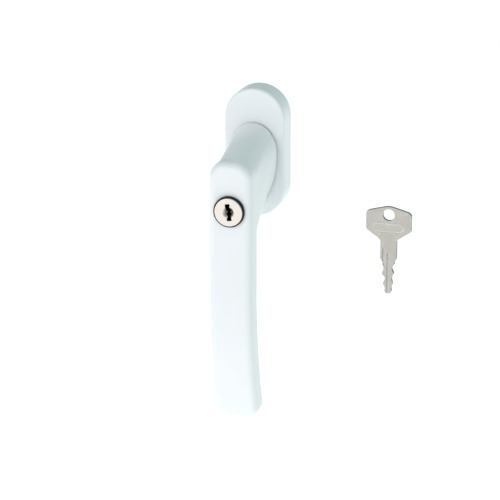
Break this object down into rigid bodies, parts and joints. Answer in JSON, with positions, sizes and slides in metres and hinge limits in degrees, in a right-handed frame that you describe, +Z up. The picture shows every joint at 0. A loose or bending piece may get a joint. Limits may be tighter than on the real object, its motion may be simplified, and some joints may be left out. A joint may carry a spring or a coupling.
{
  "type": "keyed window handle lock",
  "caption": "White lockable window handle with an oval neck on a rounded rosette, a round key cylinder in the grip, and its double-bitted key.",
  "frame": {"origin": "on the spindle's axis, in the plane where the handle meets the window frame", "axes": "+Z up along the grip towards the rosette, +Y into the window, -Y into the room, +X to the right as seen from the room"},
  "size_m": [0.0924, 0.0883, 0.1607],
  "materials": {
    "white_lacquer": "smooth semi-gloss white powder coat",
    "white_cover": "smooth semi-gloss white powder coat",
    "nickel": "warm pale nickel, finely turned",
    "key_nickel": "satin nickel plate",
    "black_plastic": "black moulded plastic",
    "zinc": "bare zinc die casting",
    "zinc_plated_steel": "bright zinc plate",
    "spring_steel": "drawn spring steel",
    "dark_steel": "blackened steel",
    "brass": "machined brass",
    "bush_plastic": "natural acetal"
  },
  "bodies": {
    "base": {"base_plate": "zinc", "rosette_cover": "white_cover", "fixing_screws": "zinc_plated_steel", "bearing_bush": "bush_plastic", "thrust_washer": "zinc_plated_steel", "detent_springs": "spring_steel"},
    "handle": {"handle_grip": "white_lacquer", "journal_circlip": "spring_steel", "spindle_stop_pin": "spring_steel", "spindle_spring": "spring_steel", "cylinder_housing": "brass", "cylinder_ring": "black_plastic", "housing_set_screw": "dark_steel"},
    "spindle": {"spindle": "zinc_plated_steel"},
    "ball_left": {"detent_ball_left": "spring_steel"},
    "ball_right": {"detent_ball_right": "spring_steel"},
    "plug": {"lock_plug": "nickel", "plug_crank": "dark_steel", "plug_circlip": "spring_steel", "wafer_springs": "spring_steel"},
    "wafers_up": {"wafer_1": "brass", "wafer_3": "brass", "wafer_5": "brass"},
    "wafers_down": {"wafer_2": "brass", "wafer_4": "brass", "wafer_6": "brass"},
    "bolt": {"locking_bolt": "dark_steel"},
    "key": {"key": "key_nickel"}
  },
  "joints": [
    {"name": "handle_turn", "type": "hinge", "parent": "base", "child": "handle", "pos_m": [0, 0, 0], "axis": [0, 1, 0], "range_deg": [0, 180]},
    {"name": "spindle_slide", "type": "slide", "parent": "handle", "child": "spindle", "axis": [0, -1, 0], "range_m": [0, 0.01], "stiffness_N_per_m": 60, "deforming": ["spindle_spring"]},
    {"name": "ball_left_slide", "type": "slide", "parent": "base", "child": "ball_left", "axis": [1, 0, 0], "range_m": [0, 0.0005], "stiffness_N_per_m": 50},
    {"name": "ball_right_slide", "type": "slide", "parent": "base", "child": "ball_right", "axis": [-1, 0, 0], "range_m": [0, 0.0005], "stiffness_N_per_m": 50},
    {"name": "plug_turn", "type": "hinge", "parent": "handle", "child": "plug", "pos_m": [0, -0.05, -0.0175], "axis": [0, -1, 0], "range_deg": [0, 90]},
    {"name": "wafers_up_slide", "type": "slide", "parent": "plug", "child": "wafers_up", "axis": [-0.1392, 0, 0.9903], "range_m": [0, 0.001], "stiffness_N_per_m": 50, "deforming": ["wafer_springs"]},
    {"name": "wafers_down_slide", "type": "slide", "parent": "plug", "child": "wafers_down", "axis": [0.1392, 0, -0.9903], "range_m": [0, 0.001], "stiffness_N_per_m": 50},
    {"name": "bolt_slide", "type": "slide", "parent": "handle", "child": "bolt", "axis": [0, 0, 1], "range_m": [0, 0.00354]},
    {"name": "key_lift", "type": "slide", "parent": "base", "child": "key", "axis": [0, -1, 0], "range_m": [0, 0.06]}
  ],
  "couplings": [
    {"joint": "ball_right_slide", "follows": "ball_left_slide", "ratio": 1},
    {"joint": "wafers_down_slide", "follows": "wafers_up_slide", "ratio": 1},
    {"joint": "bolt_slide", "follows": "plug_turn", "m_per_rad": 0.0022508}
  ]
}
